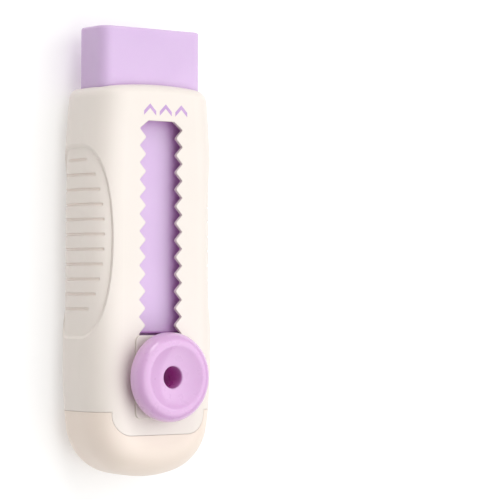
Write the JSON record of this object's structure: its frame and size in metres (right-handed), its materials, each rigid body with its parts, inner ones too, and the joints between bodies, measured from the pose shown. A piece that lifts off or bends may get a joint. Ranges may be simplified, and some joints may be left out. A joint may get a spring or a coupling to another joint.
{
  "type": "retractable eraser",
  "caption": "Block eraser in a flat rounded push-slide holder with a toothed front slot, a dished thumb knob, ribbed side grips and a snap-fitted end cap.",
  "frame": {"origin": "on the flat back face, below the middle of the whole object's bounding box, with the holder lying on its back", "axes": "+Y along the holder towards the eraser tip, +Z out of the front face through the thumb knob, +X across to the right"},
  "size_m": [0.0316, 0.0924, 0.023],
  "materials": {
    "body_plastic": "satin moulded cream",
    "cap_plastic": "satin moulded warm beige",
    "slider_plastic": "semi-gloss moulded lavender",
    "eraser_vinyl": "soft matt lavender",
    "spring_steel": "drawn wire"
  },
  "bodies": {
    "holder": {"body_shell": "body_plastic", "end_cap": "cap_plastic"},
    "slider": {"carriage": "slider_plastic", "guide_saddle": "body_plastic", "lock_spring": "spring_steel"},
    "lock": {"lock_key": "slider_plastic", "thumb_knob": "slider_plastic"},
    "refill": {"eraser_block": "eraser_vinyl"}
  },
  "joints": [
    {"name": "feed_slide", "type": "slide", "parent": "holder", "child": "slider", "axis": [0, 1, 0], "range_m": [0, 0.042]},
    {"name": "knob_press", "type": "slide", "parent": "slider", "child": "lock", "axis": [0, 0, -1], "range_m": [0, 0.0013], "stiffness_N_per_m": 1500, "springref_m": -0.001, "deforming": ["lock_spring"]},
    {"name": "refill_pull", "type": "slide", "parent": "slider", "child": "refill", "axis": [0, 1, 0], "range_m": [0, 0.053]}
  ]
}
